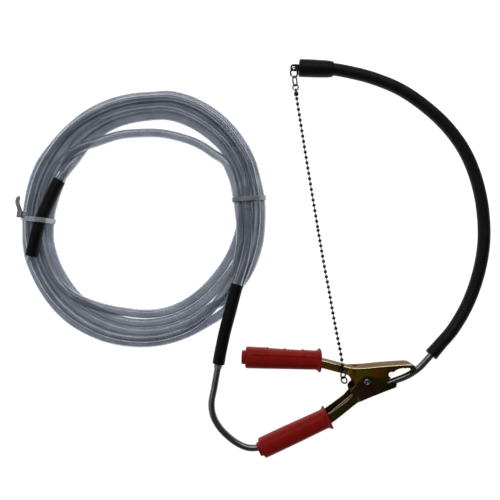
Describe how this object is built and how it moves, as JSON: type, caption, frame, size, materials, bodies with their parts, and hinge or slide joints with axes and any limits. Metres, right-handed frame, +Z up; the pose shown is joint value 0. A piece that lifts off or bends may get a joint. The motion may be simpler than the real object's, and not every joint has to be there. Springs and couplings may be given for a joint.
{
  "type": "fluid transfer pipe and hose set with spring clamp",
  "caption": "Bent steel transfer pipe held by a red-gripped spring clamp, with a capped black rubber hose and a tied coil of clear hose.",
  "frame": {"origin": "foot of the clamp's pivot axis, on the surface that the set lies on", "axes": "+Z up from the surface along the pivot, +X towards the clamp's jaws, +Y towards the hose cap"},
  "size_m": [0.4288, 0.3591, 0.0305],
  "materials": {
    "zinc": "yellow zinc passivated",
    "rivet": "bright zinc",
    "spring_steel": "dull",
    "pipe_steel": "satin",
    "nickel": "nickel plated",
    "grip": "soft moulded",
    "black_hose": "matte",
    "rubber": "matte",
    "clear_hose": "clear soft tube",
    "nylon": "natural nylon"
  },
  "bodies": {
    "root": {"lower_arm": "zinc", "pivot_rivet": "rivet", "jaw_spring": "spring_steel", "lower_grip": "grip", "steel_pipe": "pipe_steel", "delivery_hose": "black_hose", "joint_sleeve": "rubber", "clear_hose_lead": "clear_hose", "clear_hose_coil": "clear_hose", "clear_hose_stray_turn": "clear_hose", "clear_hose_tail": "clear_hose", "spare_sleeve": "rubber", "tie_left": "nylon", "tie_right": "nylon", "ball_chain_cap_half": "nickel", "ball_chain_clamp_half": "nickel"},
    "upper_arm": {"upper_arm": "zinc", "upper_grip": "grip", "arm_ring": "nickel", "arm_loose_ring": "nickel", "chain_coupling_clamp": "nickel"},
    "cap": {"end_cap": "rubber", "cap_ring": "nickel", "cap_link": "nickel", "cap_small_ring": "nickel", "chain_coupling_cap": "nickel"}
  },
  "joints": [
    {"name": "clamp_hinge", "type": "hinge", "parent": "root", "child": "upper_arm", "pos_m": [0, 0, 0], "axis": [0, 0, 1], "range_deg": [0, 30], "stiffness_Nm_per_rad": 0.78, "springref_deg": -60.16, "deforming": ["jaw_spring"]},
    {"name": "cap_pull", "type": "slide", "parent": "root", "child": "cap", "axis": [-0.9993, 0.0386, 0], "range_m": [0, 0.035]}
  ]
}
